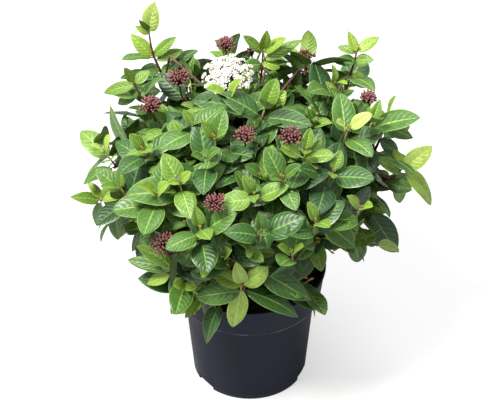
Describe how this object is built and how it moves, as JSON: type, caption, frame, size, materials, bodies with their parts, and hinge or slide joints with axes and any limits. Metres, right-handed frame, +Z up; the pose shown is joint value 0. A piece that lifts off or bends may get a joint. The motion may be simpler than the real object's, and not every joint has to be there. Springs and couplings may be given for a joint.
{
  "type": "potted laurustinus shrub",
  "caption": "Bushy flowering evergreen shrub with glossy oval leaves, plum buds and a white bloom, standing in a dark plastic nursery pot.",
  "frame": {"origin": "centre of the pot's flat underside, where it stands", "axes": "+Z up along the pot's axis, -Y towards the front of the plant, +X to its right"},
  "size_m": [0.4294, 0.3576, 0.4998],
  "materials": {
    "pot_plastic": "satin anthracite plastic, slightly blue, with pale wear on the collar's edge",
    "peat": "dark damp peat, rough",
    "bark": "dull brown bark, reddish on young twigs",
    "mature_leaves": "glossy dark green leaves with pale midribs and edges",
    "young_leaves": "bright yellow-green young leaves, satin"
  },
  "bodies": {
    "root": {"nursery_pot": "pot_plastic", "root_ball": "peat", "main_stem": "bark", "bough_1": "bark", "bough_2": "bark", "bough_3": "bark", "bough_4": "bark", "bough_5": "bark", "bough_6": "bark", "bough_7": "bark", "bough_8": "bark", "bough_9": "bark", "low_clump_1": "mature_leaves", "low_clump_2": "mature_leaves", "low_clump_3": "mature_leaves", "low_clump_4": "mature_leaves", "low_clump_5": "mature_leaves", "low_clump_6": "mature_leaves", "middle_clump_1": "mature_leaves", "middle_clump_2": "mature_leaves", "middle_clump_3": "mature_leaves", "middle_clump_4": "mature_leaves", "middle_clump_5": "mature_leaves", "middle_clump_6": "mature_leaves", "middle_clump_7": "mature_leaves", "upper_clump_1": "mature_leaves", "upper_clump_2": "mature_leaves", "upper_clump_3": "mature_leaves", "upper_clump_4": "mature_leaves", "upper_clump_5": "mature_leaves", "top_clump_1": "mature_leaves", "tall_shoot": "young_leaves", "left_upper_shoot": "young_leaves", "top_shoot": "young_leaves", "top_right_shoot": "young_leaves", "upper_right_shoot": "young_leaves", "right_upper_shoot": "young_leaves", "right_shoot": "young_leaves", "left_middle_shoot": "young_leaves", "left_shoot": "young_leaves", "low_left_shoot": "young_leaves", "low_front_shoot": "young_leaves", "low_right_front_shoot": "young_leaves", "low_right_shoot": "young_leaves", "back_shoot": "young_leaves", "back_left_shoot": "young_leaves", "back_right_shoot": "young_leaves"}
  },
  "joints": []
}
